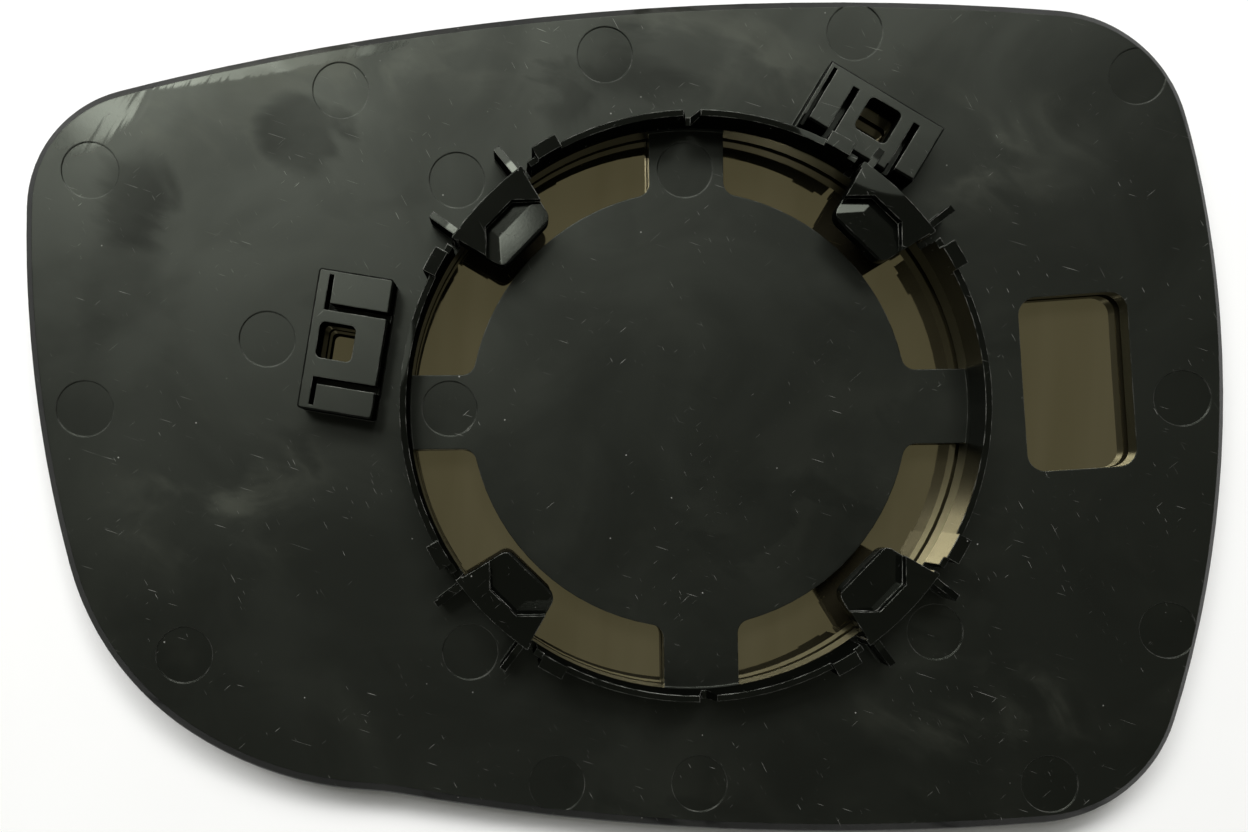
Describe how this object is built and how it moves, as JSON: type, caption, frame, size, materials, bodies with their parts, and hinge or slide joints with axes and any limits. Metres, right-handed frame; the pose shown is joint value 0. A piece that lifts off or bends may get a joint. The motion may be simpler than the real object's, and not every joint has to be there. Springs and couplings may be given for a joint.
{
  "type": "car door mirror glass",
  "caption": "Convex door mirror glass bonded into a black moulded backing plate, with a snap ring of hooks, arc windows, terminal holders and a slot on its back.",
  "frame": {"origin": "under the middle of the plate's outline, at the crown of the convex glass, on which the part lies", "axes": "+X along the mirror towards its blunt end, +Y up the mirror as its back is seen, +Z out of the back of the plate, along the snap ring's axis"},
  "size_m": [0.1726, 0.1207, 0.0132],
  "materials": {
    "moulded_plate": "black moulded plastic, semi-gloss, scuffed and dusty",
    "adhesive": "black double-sided foam",
    "mirror": "silvered glass, bright in front, brown lacquer on the back"
  },
  "bodies": {
    "root": {"backing_plate": "moulded_plate", "adhesive_sheet": "adhesive", "mirror_glass": "mirror"}
  },
  "joints": []
}
